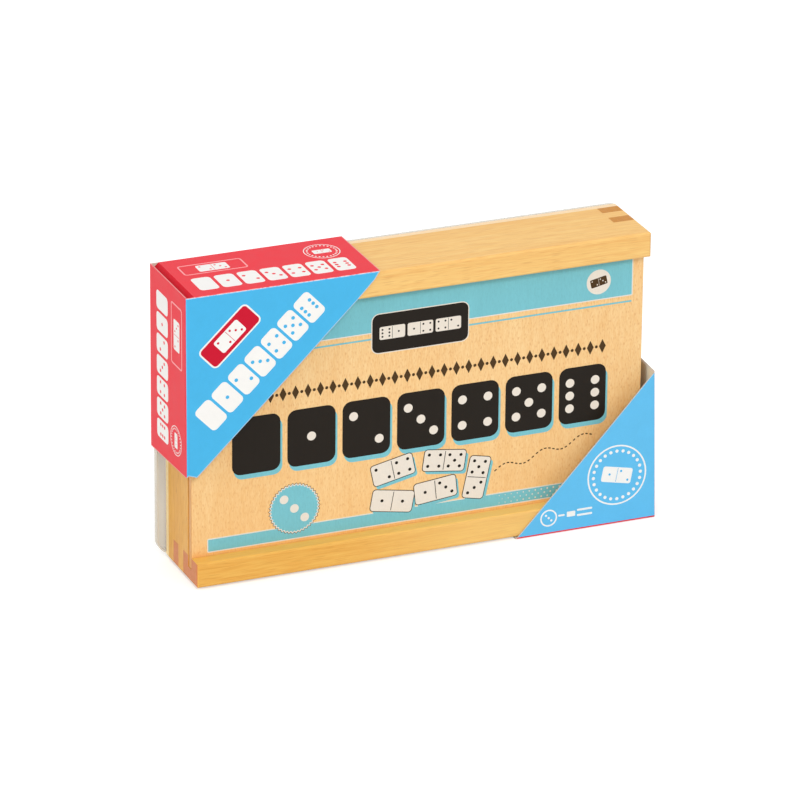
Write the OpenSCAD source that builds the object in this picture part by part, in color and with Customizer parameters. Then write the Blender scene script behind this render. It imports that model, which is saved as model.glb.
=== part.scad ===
// Wooden domino box with a sliding lid, standing on its long edge as it is sold.
// Comb-jointed beech frame, thin base panel, printed lid in two grooved rails,
// clear formed cover on the back, a card pocket on two corners, and the
// double-six set packed inside. +Z is up and the lid faces -Y.

/* [Dominoes] */
// Width of a domino
tile_w = 27.6; // [20:0.1:40]
// Length of a domino
tile_l = 57.2; // [44:0.1:80]
// Thickness of a domino
tile_t = 11.5; // [6:0.1:16]
// Radius of a domino's four corners, seen from the front
tile_corner_r = 2; // [0.5:0.1:4]
// Radius of a domino's other edges
tile_edge_r = 0.9; // [0.2:0.1:2]
// Diameter of a pip at the surface
pip_d = 4.8; // [2:0.1:6]
// Depth of a pip
pip_depth = 0.8; // [0.3:0.1:1.5]
// Distance from the middle pip to the outer pips, along either side
pip_pitch = 7.4; // [6.2:0.1:8]
// Width of the groove across a domino's middle
divider_w = 1.2; // [0.6:0.1:3]
// Depth of that groove
divider_depth = 0.6; // [0.2:0.1:1.5]
// Slack left for each domino in the box
tile_gap = 0.6; // [0.3:0.1:2]

/* [Frame] */
// Thickness of the top and bottom rails
rail_t = 12; // [9:0.5:20]
// Thickness of the two end walls
end_t = 11; // [6:0.5:20]
// Thickness of the rails' lips in front of the lid
lip_t = 7; // [3:0.5:12]
// Fingers of a comb joint, rails' and walls' together
finger_count = 4; // [2:2:8]
// Radius of the frame's eased outer edges
edge_r = 1.2; // [0.3:0.1:3]
// Glue line between two pieces of the frame
glue_line = 0.05; // [0.02:0.01:0.2]
// Thickness of the base panel
base_t = 3; // [2:0.5:6]

/* [Lid] */
// Thickness of the lid
lid_t = 3.8; // [2.5:0.1:6]
// Depth of the groove that holds each long edge of the lid
groove_d = 5.5; // [3:0.5:7]
// Play of the lid in its grooves, on each side
lid_play = 0.2; // [0.1:0.05:0.5]
// Distance that the lid stops short of the frame at each end
lid_end_gap = 0.2; // [0.1:0.1:3]
// Radius of the lid's eased end edges
lid_edge_r = 0.5; // [0.2:0.1:1]

/* [Rear cover] */
// Height of the cover behind the base panel
cover_d = 5; // [3:0.5:12]
// Wall of the cover
cover_wall = 0.6; // [0.4:0.1:1.5]
// Overhang of the cover past each end of the frame
cover_side = 4.2; // [2:0.1:8]
// Distance from the cover to the frame's top and bottom faces
cover_inset = 0.9; // [0.2:0.1:3]
// Radius of the cover's four corners
cover_corner_r = 6.5; // [3:0.5:15]
// Radius between the cover's back and its sides
cover_edge_r = 1.5; // [0.8:0.1:2.5]

/* [Card pockets] */
// Thickness of the card
card_t = 0.6; // [0.4:0.05:1]
// Clearance between the card and what it wraps
card_gap = 0.3; // [0.15:0.05:1]
// Outer radius of the card's folds
fold_r = 0.9; // [0.7:0.1:1.4]
// Length of the upper left pocket's top panel
upper_leg_x = 92; // [60:1:140]
// Length of the upper left pocket's side panel
upper_leg_z = 88; // [60:1:120]
// Length of the lower right pocket's bottom panel
lower_leg_x = 70; // [40:1:120]
// Length of the lower right pocket's side panel
lower_leg_z = 73; // [40:1:110]
// Width of the sloping strip where a pocket's tuck flap turns in
tuck_slope = 3.4; // [1.5:0.1:4]
// Length of the tuck flap
tuck_l = 12; // [5:1:30]

/* [Hidden] */
$fn = 48;
HIGHEST = 6; // pips on each half of the double six
COLUMNS = 7;
ROWS = 2;
LAYERS = 2;
STEP_ORDER = 11; // shuffles the dominoes over the places
SEAT_GAP = 0.1; // between a domino and what it rests on
SKIN = 1; // how far a cutter reaches past what it cuts
STUB = 1.2; // height of the tuck flap behind the frame, in the cover's rounded corner

// The room for the dominoes, and the frame round it
inner_l = COLUMNS * tile_w + (COLUMNS + 1) * tile_gap;
inner_h = ROWS * tile_l + (ROWS + 1) * tile_gap;
inner_d = LAYERS * tile_t + (LAYERS + 1) * tile_gap;
box_l = inner_l + 2 * end_t;
box_h = inner_h + 2 * rail_t;
groove_w = lid_t + 2 * lid_play;
wall_y = lip_t + groove_w; // front faces of the end walls
frame_d = wall_y + inner_d;
base_y = frame_d + glue_line;
back_y = base_y + base_t;
finger_w = inner_d / finger_count;

// The pockets close round the frame and the cover
wrap = card_t + card_gap;
wrap_side = cover_side + wrap;
total_d = wrap + back_y + cover_d + wrap;
total_h = box_h + 2 * wrap;
front_y = wrap - total_d / 2; // front faces of the rails

// Sphere that leaves a pip of the stated diameter and depth
pip_r = (pip_d * pip_d / 4 + pip_depth * pip_depth) / (2 * pip_depth);

// ---- Helpers ----

// Moves from the frame's own corner, on the left, at the front and below, to the part's place
module in_frame() {
    translate([-box_l / 2, front_y, wrap]) children();
}

// Extrudes a profile drawn in Y and Z along X
module along_x(length) {
    rotate([90, 0, 90]) linear_extrude(length) children();
}

// Extrudes a profile drawn in X and Z along Y
module along_y(length) {
    translate([0, length, 0]) rotate([90, 0, 0]) linear_extrude(length) children();
}

// What a rounded corner takes off a square one at the origin
module corner_nick(r) {
    difference() {
        translate([-SKIN, -SKIN]) square(r + SKIN);
        translate([r, r]) circle(r);
    }
}

// Rectangle with a radius for each corner, counted round from the origin
module eased_rect(w, h, radii) {
    difference() {
        square([w, h]);
        if (radii[0] > 0) corner_nick(radii[0]);
        if (radii[1] > 0) translate([w, 0]) mirror([1, 0]) corner_nick(radii[1]);
        if (radii[2] > 0) translate([w, h]) rotate(180) corner_nick(radii[2]);
        if (radii[3] > 0) translate([0, h]) mirror([0, 1]) corner_nick(radii[3]);
    }
}

// Plan rectangle with one radius, whose far face, at depth d, also has a rounded rim
module soft_slab(w, h, d, corner, rim) {
    linear_extrude(d - rim) eased_rect(w, h, [corner, corner, corner, corner]);
    translate([rim, rim, 0]) linear_extrude(d)
        eased_rect(w - 2 * rim, h - 2 * rim, [for (i = [0:3]) corner - rim]);
    for (y = [rim, h - rim]) translate([corner, y, d - rim])
        rotate([0, 90, 0]) cylinder(r = rim, h = w - 2 * corner);
    for (x = [rim, w - rim]) translate([x, corner, d - rim])
        rotate([-90, 0, 0]) cylinder(r = rim, h = h - 2 * corner);
    for (x = [corner, w - corner]) for (y = [corner, h - corner])
        translate([x, y, d - rim]) rotate_extrude() translate([corner - rim, 0]) circle(rim);
}

// ---- Wooden frame ----

// Frame's outline from the front, with its eased corners
module frame_outline() {
    along_y(frame_d) eased_rect(box_l, box_h, [for (i = [0:3]) edge_r]);
}

// Places of every second finger, from the first one of the walls or of the rails
module at_fingers(first) {
    for (i = [first:2:finger_count - 1]) translate([0, wall_y + i * finger_w, 0]) children();
}

// Bottom rail in the frame's own place: lip, lid groove and comb at both ends
module rail() {
    difference() {
        intersection() {
            along_x(box_l) difference() {
                eased_rect(frame_d, rail_t, [edge_r, 0, 0, edge_r]);
                translate([lip_t, rail_t - groove_d]) square([groove_w, groove_d + SKIN]);
            }
            linear_extrude(rail_t) eased_rect(box_l, frame_d, [edge_r, edge_r, 0, 0]);
            frame_outline();
        }
        for (x = [-SKIN, box_l - end_t - glue_line]) at_fingers(1)
            translate([x, -glue_line, -SKIN])
            cube([end_t + glue_line + SKIN, finger_w + 2 * glue_line, rail_t + 2 * SKIN]);
    }
}

// Left wall in the frame's own place: its fingers reach through both rails
module end_wall() {
    foot = rail_t + glue_line;
    intersection() {
        union() {
            translate([0, wall_y, foot]) cube([end_t, inner_d, box_h - 2 * foot]);
            at_fingers(1) cube([end_t, finger_w, box_h]);
        }
        frame_outline();
    }
}

module bottom_rail() {
    color("burlywood") in_frame() rail();
}

module top_rail() {
    color("burlywood") in_frame() translate([0, 0, box_h]) mirror([0, 0, 1]) rail();
}

module left_wall() {
    color("tan") in_frame() end_wall();
}

module right_wall() {
    color("tan") in_frame() translate([box_l, 0, 0]) mirror([1, 0, 0]) end_wall();
}

module base_panel() {
    color("wheat") in_frame() translate([0, base_y, 0])
        along_y(base_t) eased_rect(box_l, box_h, [for (i = [0:3]) edge_r]);
}

module lid_panel() {
    edge_z = rail_t - groove_d + lid_play;
    color("navajowhite") in_frame()
        translate([lid_end_gap, lip_t + lid_play, edge_z])
        linear_extrude(box_h - 2 * edge_z)
        eased_rect(box_l - 2 * lid_end_gap, lid_t, [for (i = [0:3]) lid_edge_r]);
}

// ---- Cover on the back ----

module rear_cover() {
    w = box_l + 2 * cover_side;
    h = box_h - 2 * cover_inset;
    color([0.86, 0.86, 0.83, 0.5]) in_frame()
        translate([-cover_side, back_y, cover_inset + h]) rotate([-90, 0, 0])
        difference() {
            soft_slab(w, h, cover_d, cover_corner_r, cover_edge_r);
            translate([cover_wall, cover_wall, -cover_wall])
                soft_slab(w - 2 * cover_wall, h - 2 * cover_wall, cover_d,
                          cover_corner_r - cover_wall, cover_edge_r - cover_wall);
        }
}

// ---- Card pockets ----

// Room inside a pocket, or its outside where inset is 0, with its corner at the origin
module pocket_block(leg_x, leg_z, inset) {
    r = fold_r - inset;
    intersection() {
        translate([inset, inset, inset])
            along_x(leg_x) eased_rect(total_d - 2 * inset, leg_z, [r, r, 0, 0]);
        translate([inset, inset, inset])
            linear_extrude(leg_z) eased_rect(leg_x, total_d - 2 * inset, [r, 0, 0, r]);
    }
}

// Side view of a tuck flap: a sloping strip from the bottom panel, then a flap of length l
module tuck_profile(l) {
    flap_x = card_t + SEAT_GAP;
    turn_x = flap_x + tuck_slope;
    polygon([
        [turn_x, 0], [turn_x + card_t, card_t / 2], [turn_x, card_t],
        [flap_x + card_t, tuck_slope + card_t / 2], [flap_x + card_t, tuck_slope + l],
        [flap_x, tuck_slope + l], [flap_x, tuck_slope]
    ]);
}

// Triangular front and back, a bottom panel along X and a side panel along Z, folded from
// one card. The bottom panel turns up short of the corner, into a flap inside the side panel.
// Behind the frame only its strip goes on, where the cover's corner leaves room.
module card_pocket(leg_x, leg_z) {
    turn_x = card_t + SEAT_GAP + tuck_slope;
    flap_y = card_t + SEAT_GAP;
    flap_w = base_y - card_gap;
    strip_w = cover_corner_r > tuck_slope + 2 ? total_d - 2 * flap_y : flap_w;
    difference() {
        intersection() {
            difference() {
                pocket_block(leg_x, leg_z, 0);
                pocket_block(leg_x, leg_z, card_t);
            }
            along_y(total_d) polygon([[0, 0], [leg_x, 0], [0, leg_z]]);
        }
        translate([card_t, card_t, -SKIN])
            cube([turn_x - card_t, total_d - 2 * card_t, card_t + 2 * SKIN]);
    }
    translate([0, flap_y, 0]) {
        along_y(flap_w) tuck_profile(tuck_l);
        along_y(strip_w) tuck_profile(STUB);
    }
}

module upper_left_pocket() {
    color("deepskyblue")
        translate([-box_l / 2 - wrap_side, -total_d / 2, total_h]) mirror([0, 0, 1])
        card_pocket(upper_leg_x, upper_leg_z);
}

module lower_right_pocket() {
    color("deepskyblue")
        translate([box_l / 2 + wrap_side, -total_d / 2, 0]) mirror([1, 0, 0])
        card_pocket(lower_leg_x, lower_leg_z);
}

// ---- Dominoes ----

// Places of n pips on a three by three grid, the six in two columns
function pip_spots(n) = concat(
    n % 2 == 1 ? [[0, 0]] : [],
    n >= 2 ? [[-1, 1], [1, -1]] : [],
    n >= 4 ? [[-1, -1], [1, 1]] : [],
    n == 6 ? [[-1, 0], [1, 0]] : []
);

// Order of a domino in the set, and the place that the order gets in the box
function tile_order(a, b) = a * (HIGHEST + 1) - a * (a - 1) / 2 + b - a;
function tile_place(a, b) = (tile_order(a, b) * STEP_ORDER) % (COLUMNS * ROWS * LAYERS);

// Pips of one half of a domino, as the balls that press them in
module half_pips(n) {
    for (s = pip_spots(n)) translate([s[0] * pip_pitch, pip_depth - pip_r, s[1] * pip_pitch])
        sphere(pip_r);
}

// Domino with its left lower front corner at the origin and its pips at the front
module domino(a, b) {
    edges = [for (i = [0:3]) tile_edge_r];
    difference() {
        intersection() {
            along_y(tile_t) eased_rect(tile_w, tile_l, [for (i = [0:3]) tile_corner_r]);
            along_x(tile_w) eased_rect(tile_t, tile_l, edges);
            linear_extrude(tile_l) eased_rect(tile_w, tile_t, edges);
        }
        translate([tile_w / 2, 0, tile_l / 4]) half_pips(a);
        translate([tile_w / 2, 0, tile_l * 3 / 4]) half_pips(b);
        translate([-SKIN, -SKIN, tile_l / 2 - divider_w / 2])
            cube([tile_w + 2 * SKIN, divider_depth + SKIN, divider_w]);
    }
}

// A domino in its place: columns along X, rows up, layers towards the base
module packed_domino(a, b) {
    place = tile_place(a, b);
    column = place % COLUMNS;
    row = floor(place / COLUMNS) % ROWS;
    layer = floor(place / (COLUMNS * ROWS));
    x = end_t + tile_gap + column * (tile_w + tile_gap);
    y = frame_d - (LAYERS - layer) * (tile_t + SEAT_GAP);
    z = rail_t + SEAT_GAP + row * (tile_l + SEAT_GAP);
    color("ivory") in_frame() translate([x, y, z]) domino(a, b);
}

top_rail();
bottom_rail();
left_wall();
right_wall();
base_panel();
lid_panel();
rear_cover();
upper_left_pocket();
lower_right_pocket();
for (a = [0:HIGHEST]) for (b = [a:HIGHEST])
    packed_domino(a, b);
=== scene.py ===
# Looks of a wooden domino box: comb-jointed beech frame, printed sliding lid, clear
# cover on the back, card pockets on two corners and the double-six set inside.
# Sizes in the dictionaries are in millimetres, in the frame's own axes.
import bmesh
import bpy
import numpy as np
from mathutils import Matrix, Vector


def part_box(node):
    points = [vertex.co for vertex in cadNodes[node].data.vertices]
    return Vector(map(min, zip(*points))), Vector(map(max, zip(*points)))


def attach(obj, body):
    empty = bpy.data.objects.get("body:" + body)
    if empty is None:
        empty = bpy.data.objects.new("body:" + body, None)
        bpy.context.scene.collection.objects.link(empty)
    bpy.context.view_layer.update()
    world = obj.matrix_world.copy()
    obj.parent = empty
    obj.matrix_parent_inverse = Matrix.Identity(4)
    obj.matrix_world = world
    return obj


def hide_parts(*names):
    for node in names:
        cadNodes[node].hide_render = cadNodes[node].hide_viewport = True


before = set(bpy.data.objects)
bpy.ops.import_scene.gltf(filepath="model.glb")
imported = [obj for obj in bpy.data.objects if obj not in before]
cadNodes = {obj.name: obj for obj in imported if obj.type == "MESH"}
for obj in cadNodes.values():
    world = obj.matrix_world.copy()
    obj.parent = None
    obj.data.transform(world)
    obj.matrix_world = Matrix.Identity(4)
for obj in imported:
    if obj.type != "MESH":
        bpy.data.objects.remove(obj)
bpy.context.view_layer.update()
mm = 0.001
print("frame loaded, nodes:", len(cadNodes))


# Turns screen colours, 0 to 255, into the linear values that shaders want
def colour(red, green, blue):
    share = np.array([red, green, blue]) / 255
    linear = np.where(share > 0.04045, ((share + 0.055) / 1.055) ** 2.4, share / 12.92)
    return (*linear.tolist(), 1.0)


# Sets a node's inputs to values, or links them to other nodes' outputs
def feed(tree, node, inputs):
    for key, value in inputs.items():
        if isinstance(value, bpy.types.NodeSocket):
            tree.links.new(value, node.inputs[key])
        else:
            node.inputs[key].default_value = value


# Adds one node, feeds it, and gives back one of its outputs
def wire(tree, kind, output, inputs, **settings):
    node = tree.nodes.new(kind)
    for name, value in settings.items():
        setattr(node, name, value)
    feed(tree, node, inputs)
    return node.outputs[output]


def calc(tree, operation, first, second=0.0):
    return wire(tree, "ShaderNodeMath", 0, {0: first, 1: second}, operation=operation)


def times(tree, first, second):
    return calc(tree, "MULTIPLY", first, second)


def plus(tree, first, second):
    return calc(tree, "ADD", first, second)


def minus(tree, first, second):
    return calc(tree, "SUBTRACT", first, second)


def vectorCalc(tree, operation, first, second, output=0):
    inputs = {0: first, 1: second}
    return wire(tree, "ShaderNodeVectorMath", output, inputs, operation=operation)


def scaled(tree, vector, factor):
    inputs = {0: vector, "Scale": factor}
    return wire(tree, "ShaderNodeVectorMath", 0, inputs, operation="SCALE")


# Smooth step from 0 to 1 as the value goes from low to high
def stepped(tree, value, low, high):
    ends = {"Value": value, "From Min": low, "From Max": high}
    return wire(tree, "ShaderNodeMapRange", 0, ends, interpolation_type="SMOOTHSTEP")


def ranged(tree, value, low, high, newLow, newHigh):
    ends = {"From Min": low, "From Max": high, "To Min": newLow, "To Max": newHigh}
    return wire(tree, "ShaderNodeMapRange", 0, {"Value": value, **ends})


def mixed(tree, factor, first, second, blend="MIX"):
    inputs = {0: factor, 6: first, 7: second}
    return wire(tree, "ShaderNodeMix", 2, inputs, data_type="RGBA", blend_type=blend)


def noise(tree, place, scale, detail, roughness=0.5):
    inputs = {"Vector": place, "Scale": scale, "Detail": detail, "Roughness": roughness}
    return wire(tree, "ShaderNodeTexNoise", 0, inputs)


def axes(tree, vector):
    node = tree.nodes.new("ShaderNodeSeparateXYZ")
    tree.links.new(vector, node.inputs[0])
    return node.outputs[0], node.outputs[1], node.outputs[2]


# Puts new data into the scene as an object, and gives back the object
def linked(name, data):
    made = bpy.data.objects.new(name, data)
    bpy.context.scene.collection.objects.link(made)
    return made


cameraSetup = {
    "place": (-1008.195, -2399.261, 1168.728),
    "aim": (-6.176, -7.025, 70.901),
    "roll": 0.563,
    "lens": 280.95,
    "sensor": 36,
    "clip": (50, 50000),
}
studio = {
    "worldLevel": 0.6,
    "worldColour": (0.99, 0.99, 1.0, 1.0),
    "lamps": {
        "frontLamp": {"place": (-450, -2450, 1800), "size": 700, "power": 30},
        "sideLamp": {"place": (-2900, -700, 900), "size": 1500, "power": 19.2},
        "topLamp": {"place": (100, -100, 2600), "size": 1500, "power": 11.3},
    },
    "lampAim": (0, 0, 70),
    "floorSize": 12000,
    "floorColour": colour(232, 232, 230),
    "floorDull": 0.9,
    "floorGloss": 0.1,
    "floorGlow": 0.42,
}
white = (1, 1, 1, 1)


# Columns of the matrix: right and up, both turned by the roll, and the way back
def makeCamera(setup):
    place, aim = Vector(setup["place"]) * mm, Vector(setup["aim"]) * mm
    back = (place - aim).normalized()
    right = Vector((0, 0, 1)).cross(back).normalized()
    up = back.cross(right)
    roll = np.radians(setup["roll"])
    across = right * np.cos(roll) + up * np.sin(roll)
    upward = up * np.cos(roll) - right * np.sin(roll)
    data = bpy.data.cameras.new("camera")
    data.lens, data.sensor_width = setup["lens"], setup["sensor"]
    data.clip_start, data.clip_end = (end * mm for end in setup["clip"])
    made = linked("camera", data)
    turn = Matrix((across, upward, back)).transposed()
    made.matrix_world = Matrix.Translation(place) @ turn.to_4x4()
    bpy.context.scene.camera = made


def makeLamp(name, lamp, aim):
    data = bpy.data.lights.new(name, "AREA")
    data.shape, data.size, data.energy = "DISK", lamp["size"] * mm, lamp["power"]
    made = linked(name, data)
    made.location = Vector(lamp["place"]) * mm
    away = made.location - Vector(aim) * mm
    made.rotation_euler = away.to_track_quat("Z", "Y").to_euler()


# One where the ray comes from the eye, a mirror or a window
def seenDirectly(tree):
    path = tree.nodes.new("ShaderNodeLightPath").outputs
    sight = calc(tree, "MAXIMUM", path["Is Camera Ray"], path["Is Glossy Ray"])
    return calc(tree, "MAXIMUM", sight, path["Is Transmission Ray"])


def makeWorld(setup):
    world = bpy.data.worlds.new("studio")
    world.use_nodes = True
    bpy.context.scene.world = world
    tree = world.node_tree
    tree.nodes.clear()
    soft = {"Color": setup["worldColour"], "Strength": setup["worldLevel"]}
    light = wire(tree, "ShaderNodeBackground", 0, soft)
    seen = wire(tree, "ShaderNodeBackground", 0, {"Color": white, "Strength": 1.0})
    both = wire(tree, "ShaderNodeMixShader", 0, {0: seenDirectly(tree), 1: light, 2: seen})
    tree.links.new(both, tree.nodes.new("ShaderNodeOutputWorld").inputs[0])


# Flat square of pale paper, which glows a little towards the eye
def makeFloor(setup):
    half = setup["floorSize"] * mm / 2
    corners = [(-half, -half, 0), (half, -half, 0), (half, half, 0), (-half, half, 0)]
    mesh = bpy.data.meshes.new("floor")
    mesh.from_pydata(corners, [], [(0, 1, 2, 3)])
    made = linked("floor", mesh)
    material = bpy.data.materials.new("floorPaper")
    material.use_nodes = True
    tree = material.node_tree
    shader = tree.nodes["Principled BSDF"]
    feed(tree, shader, {
        "Base Color": setup["floorColour"], "Roughness": setup["floorDull"],
        "Specular IOR Level": setup["floorGloss"],
    })
    glow = times(tree, seenDirectly(tree), setup["floorGlow"])
    lit = wire(tree, "ShaderNodeEmission", 0, {"Color": white, "Strength": glow})
    both = wire(tree, "ShaderNodeAddShader", 0, {0: shader.outputs[0], 1: lit})
    tree.links.new(both, tree.nodes["Material Output"].inputs[0])
    mesh.materials.append(material)


makeCamera(cameraSetup)
makeWorld(studio)
makeFloor(studio)
for lampName, lamp in studio["lamps"].items():
    makeLamp(lampName, lamp, studio["lampAim"])
bpy.context.scene.view_settings.view_transform = "Standard"
print("camera, floor and lamps placed")


# New group with named sockets, listed by kind
def startGroup(name, inputs, outputs):
    group = bpy.data.node_groups.new(name, "ShaderNodeTree")
    for way, kinds in (("INPUT", inputs), ("OUTPUT", outputs)):
        for kind, label in ((kind, label) for kind in kinds for label in kinds[kind]):
            group.interface.new_socket(label, in_out=way, socket_type="NodeSocket" + kind)
    given = group.nodes.new("NodeGroupInput").outputs
    return group, given, group.nodes.new("NodeGroupOutput").inputs


def useGroup(tree, group, inputs):
    node = tree.nodes.new("ShaderNodeGroup")
    node.node_tree = group
    feed(tree, node, inputs)
    return node.outputs


# Layers of noise in the wood: share of the distance along the grain that counts, scale,
# detail, roughness, the values between which it works, and what it adds to the tone
grainLayers = {
    "bands": {"share": 0.05, "scale": 80, "detail": 2.0, "roughness": 0.5,
              "range": (0.34, 0.66), "tone": 0.25},
    "streaks": {"share": 0.05, "scale": 900, "detail": 2.0, "roughness": 0.6,
                "range": (0.3, 0.7), "tone": 0.25},
    "fibres": {"share": 0.09, "scale": 2500, "detail": 1.0, "roughness": 0.5,
               "range": (0.25, 0.75), "tone": 0.5},
    "flecks": {"share": 0.14, "scale": 2400, "detail": 0.0, "roughness": 0.5,
               "range": (0.58, 0.76)},
    "rings": {"scale": 420, "detail": 3.0, "roughness": 0.7,
              "range": (0.35, 0.65), "tone": 0.4},
}
grainLook = {"boardShift": (1.7, 2.3, 3.1), "roughness": (0.36, 0.52), "fleckDepth": -0.5}
facing = (0.55, 0.85)   # share of a normal along an axis, from not facing it to facing it


def layered(tree, place, layer):
    return noise(tree, place, layer["scale"], layer["detail"], layer["roughness"])


def toned(tree, value, layer):
    return ranged(tree, value, *layer["range"], 0, layer["tone"])


# Beech: noise drawn out along the grain in three widths, short dark flecks, and a
# darker tone with small rings where the surface faces along the grain
def makeBeechFigure(layers, look):
    group, given, result = startGroup(
        "beechFigure",
        {"Vector": ("Place", "Facing", "Grain Axis"), "Color": ("Pale", "Streak", "Fleck", "End"),
         "Float": ("Flecks", "Stretch", "Board")},
        {"Color": ("Colour",), "Float": ("Roughness", "Height")},
    )
    axis = given["Grain Axis"]
    along = vectorCalc(group, "DOT_PRODUCT", given["Place"], axis, 1)
    across = vectorCalc(group, "SUBTRACT", given["Place"], scaled(group, axis, along))
    along = times(group, along, given["Stretch"])
    boardShift = scaled(group, look["boardShift"], given["Board"])

    def drawn(layer):
        kept = scaled(group, axis, times(group, along, layer["share"]))
        place = vectorCalc(group, "ADD", vectorCalc(group, "ADD", across, kept), boardShift)
        return layered(group, place, layer)

    streaks, fibres = drawn(layers["streaks"]), drawn(layers["fibres"])
    tone = plus(group, toned(group, drawn(layers["bands"]), layers["bands"]),
                toned(group, streaks, layers["streaks"]))
    tone = plus(group, tone, toned(group, fibres, layers["fibres"]))
    wood = mixed(group, tone, given["Pale"], given["Streak"])
    flecks = stepped(group, drawn(layers["flecks"]), *layers["flecks"]["range"])
    wood = mixed(group, times(group, flecks, given["Flecks"]), wood, given["Fleck"])
    rings = toned(group, layered(group, across, layers["rings"]), layers["rings"])
    endTone = mixed(group, rings, given["End"], given["Fleck"])
    turned = calc(group, "ABSOLUTE", vectorCalc(group, "DOT_PRODUCT", given["Facing"], axis, 1))
    wood = mixed(group, stepped(group, turned, *facing), wood, endTone)
    group.links.new(wood, result["Colour"])
    dull = ranged(group, streaks, *layers["streaks"]["range"], *look["roughness"])
    group.links.new(dull, result["Roughness"])
    sunk = times(group, flecks, look["fleckDepth"])
    group.links.new(plus(group, fibres, sunk), result["Height"])
    return group


mottleLook = {
    "clouds": {"detail": 3.0, "roughness": 0.6, "weight": 0.6},
    "grit": {"times": 14.0, "detail": 1.0, "weight": 0.4},
}


# Slight unevenness of a plain finish: cloudy tone, changing gloss and small grain
def makeSoftMottle(look):
    group, given, result = startGroup(
        "softMottle",
        {"Vector": ("Place",), "Color": ("Colour",),
         "Float": ("Size", "Amount", "Dull", "Gloss Change")},
        {"Color": ("Colour",), "Float": ("Roughness", "Height")},
    )
    cloudy, gritty = look["clouds"], look["grit"]
    clouds = noise(group, given["Place"], given["Size"], cloudy["detail"], cloudy["roughness"])
    fine = times(group, given["Size"], gritty["times"])
    grit = noise(group, given["Place"], fine, gritty["detail"])
    both = plus(group, times(group, clouds, cloudy["weight"]),
                times(group, grit, gritty["weight"]))
    swing = times(group, minus(group, both, 0.5), given["Amount"])
    shade = plus(group, 1.0, swing)
    grey = wire(group, "ShaderNodeCombineColor", 0, {0: shade, 1: shade, 2: shade})
    group.links.new(mixed(group, 1.0, given["Colour"], grey, "MULTIPLY"), result["Colour"])
    change = times(group, minus(group, clouds, 0.5), given["Gloss Change"])
    group.links.new(plus(group, given["Dull"], change), result["Roughness"])
    group.links.new(both, result["Height"])
    return group


cardPlan = {
    "flapFacing": (0.6, 0.7),
    "downFacing": -0.93,
    "room": (18, 0, 18),    # a point inside the pocket, from its outer corner
    "cutReach": 60.0,       # from the corner to the slanting cut
    "cutRim": 0.32,         # width of the worn rim along the cut
    "cutFace": 0.03,        # faces this near the cut are the cut itself
    "skin": 0.3,            # how near to a panel's outer surface counts as on it
    "fold": (0.62, 0.2),
    "wear": {"scale": 900, "detail": 3.0, "roughness": 0.7, "range": (0.3, 0.62)},
}


# Where a card pocket is printed and where bare: measured from its outer corner, with
# both legs positive. A face is outside where it looks away from a point in the room.
# The bottom panel's print comes round the fold as a hem on the flap face.
def makePocketPlan(look):
    group, given, result = startGroup(
        "pocketPlan",
        {"Vector": ("Place", "Facing", "Corner", "Way"),
         "Float": ("Leg X", "Leg Z", "Half Depth", "Turn", "Hem")},
        {"Float": ("Flap Face", "Outside", "Cut Edge", "Cut Face", "Crease", "Tuck")},
    )
    fromCorner = vectorCalc(group, "SUBTRACT", given["Place"], given["Corner"])
    local = vectorCalc(group, "MULTIPLY", scaled(group, fromCorner, 1 / mm), given["Way"])
    looking = vectorCalc(group, "MULTIPLY", given["Facing"], given["Way"])
    x, y, z = axes(group, local)
    _, sideways, upward = axes(group, looking)
    flapFace = stepped(group, calc(group, "ABSOLUTE", sideways), *look["flapFacing"])
    overHem = calc(group, "GREATER_THAN", z, given["Hem"])
    group.links.new(times(group, flapFace, overHem), result["Flap Face"])

    room = vectorCalc(group, "SUBTRACT", local, look["room"])
    outward = vectorCalc(group, "DOT_PRODUCT", room, looking, 1)
    group.links.new(calc(group, "GREATER_THAN", outward, 0.0), result["Outside"])

    # distance to the slanting cut, and the bare ends of the card beside the tuck flap
    used = plus(group, calc(group, "DIVIDE", x, given["Leg X"]),
                calc(group, "DIVIDE", z, given["Leg Z"]))
    toCut = times(group, minus(group, 1.0, used), look["cutReach"])
    rim = calc(group, "LESS_THAN", toCut, look["cutRim"])
    group.links.new(calc(group, "LESS_THAN", toCut, look["cutFace"]), result["Cut Face"])
    beforeTurn = calc(group, "LESS_THAN", x, given["Turn"])
    downward = calc(group, "LESS_THAN", upward, look["downFacing"])
    bare = times(group, times(group, beforeTurn, downward),
                 calc(group, "LESS_THAN", z, look["skin"]))
    group.links.new(calc(group, "MAXIMUM", rim, bare), result["Cut Edge"])
    inTuck = times(group, calc(group, "GREATER_THAN", x, look["skin"]), beforeTurn)
    group.links.new(inTuck, result["Tuck"])

    # the fold between a flap face and the bottom panel, worn pale
    toFace = minus(group, given["Half Depth"], calc(group, "ABSOLUTE", y))
    bend = stepped(group, calc(group, "MAXIMUM", z, toFace), *look["fold"])
    wear = look["wear"]
    worn = stepped(group, layered(group, given["Place"], wear), *wear["range"])
    group.links.new(times(group, bend, worn), result["Crease"])
    return group


pipDepths = (0.02, 1.2)   # paint lies deeper than the first and less deep than the second


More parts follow.
